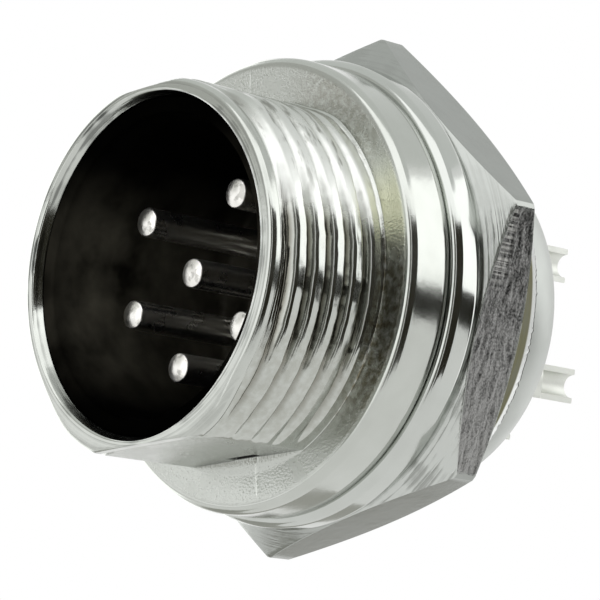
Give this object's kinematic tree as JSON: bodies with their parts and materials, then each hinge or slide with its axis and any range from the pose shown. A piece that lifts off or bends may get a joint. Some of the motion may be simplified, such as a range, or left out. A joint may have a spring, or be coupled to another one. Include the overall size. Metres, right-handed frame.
{
  "type": "panel-mount circular connector",
  "caption": "Panel-mount microphone connector: threaded metal shell with a flange, pin contacts in a black insulator, solder cups, washer and hex nut.",
  "frame": {"origin": "on the axis, at the flange's rear face, which seats against the panel", "axes": "+Y along the axis towards the solder cups, -Y out of the mouth, +Z square to the two casting flats"},
  "size_m": [0.0216, 0.0223, 0.021],
  "materials": {
    "nickel_casting": "bright nickel on a zinc casting",
    "black_moulding": "black moulded plastic",
    "contact_plating": "bright plated brass",
    "nickel_washer": "bright nickel plate",
    "nickel_nut": "bright nickel plate over a machined nut"
  },
  "bodies": {
    "connector": {"shell": "nickel_casting", "insulator": "black_moulding", "contact_1": "contact_plating", "contact_2": "contact_plating", "contact_3": "contact_plating", "contact_4": "contact_plating", "contact_5": "contact_plating", "contact_6": "contact_plating"},
    "washer": {"washer": "nickel_washer"},
    "nut": {"hex_nut": "nickel_nut"}
  },
  "joints": [
    {"name": "washer_slide", "type": "slide", "parent": "connector", "child": "washer", "axis": [0, 1, 0], "range_m": [0, 0.003]},
    {"name": "nut_turn", "type": "hinge", "parent": "washer", "child": "nut", "pos_m": [0, 0, 0], "axis": [0, 1, 0], "range_deg": [0, 1080]}
  ],
  "couplings": [
    {"joint": "nut_turn", "follows": "washer_slide", "rad_per_m": 6283.2}
  ]
}
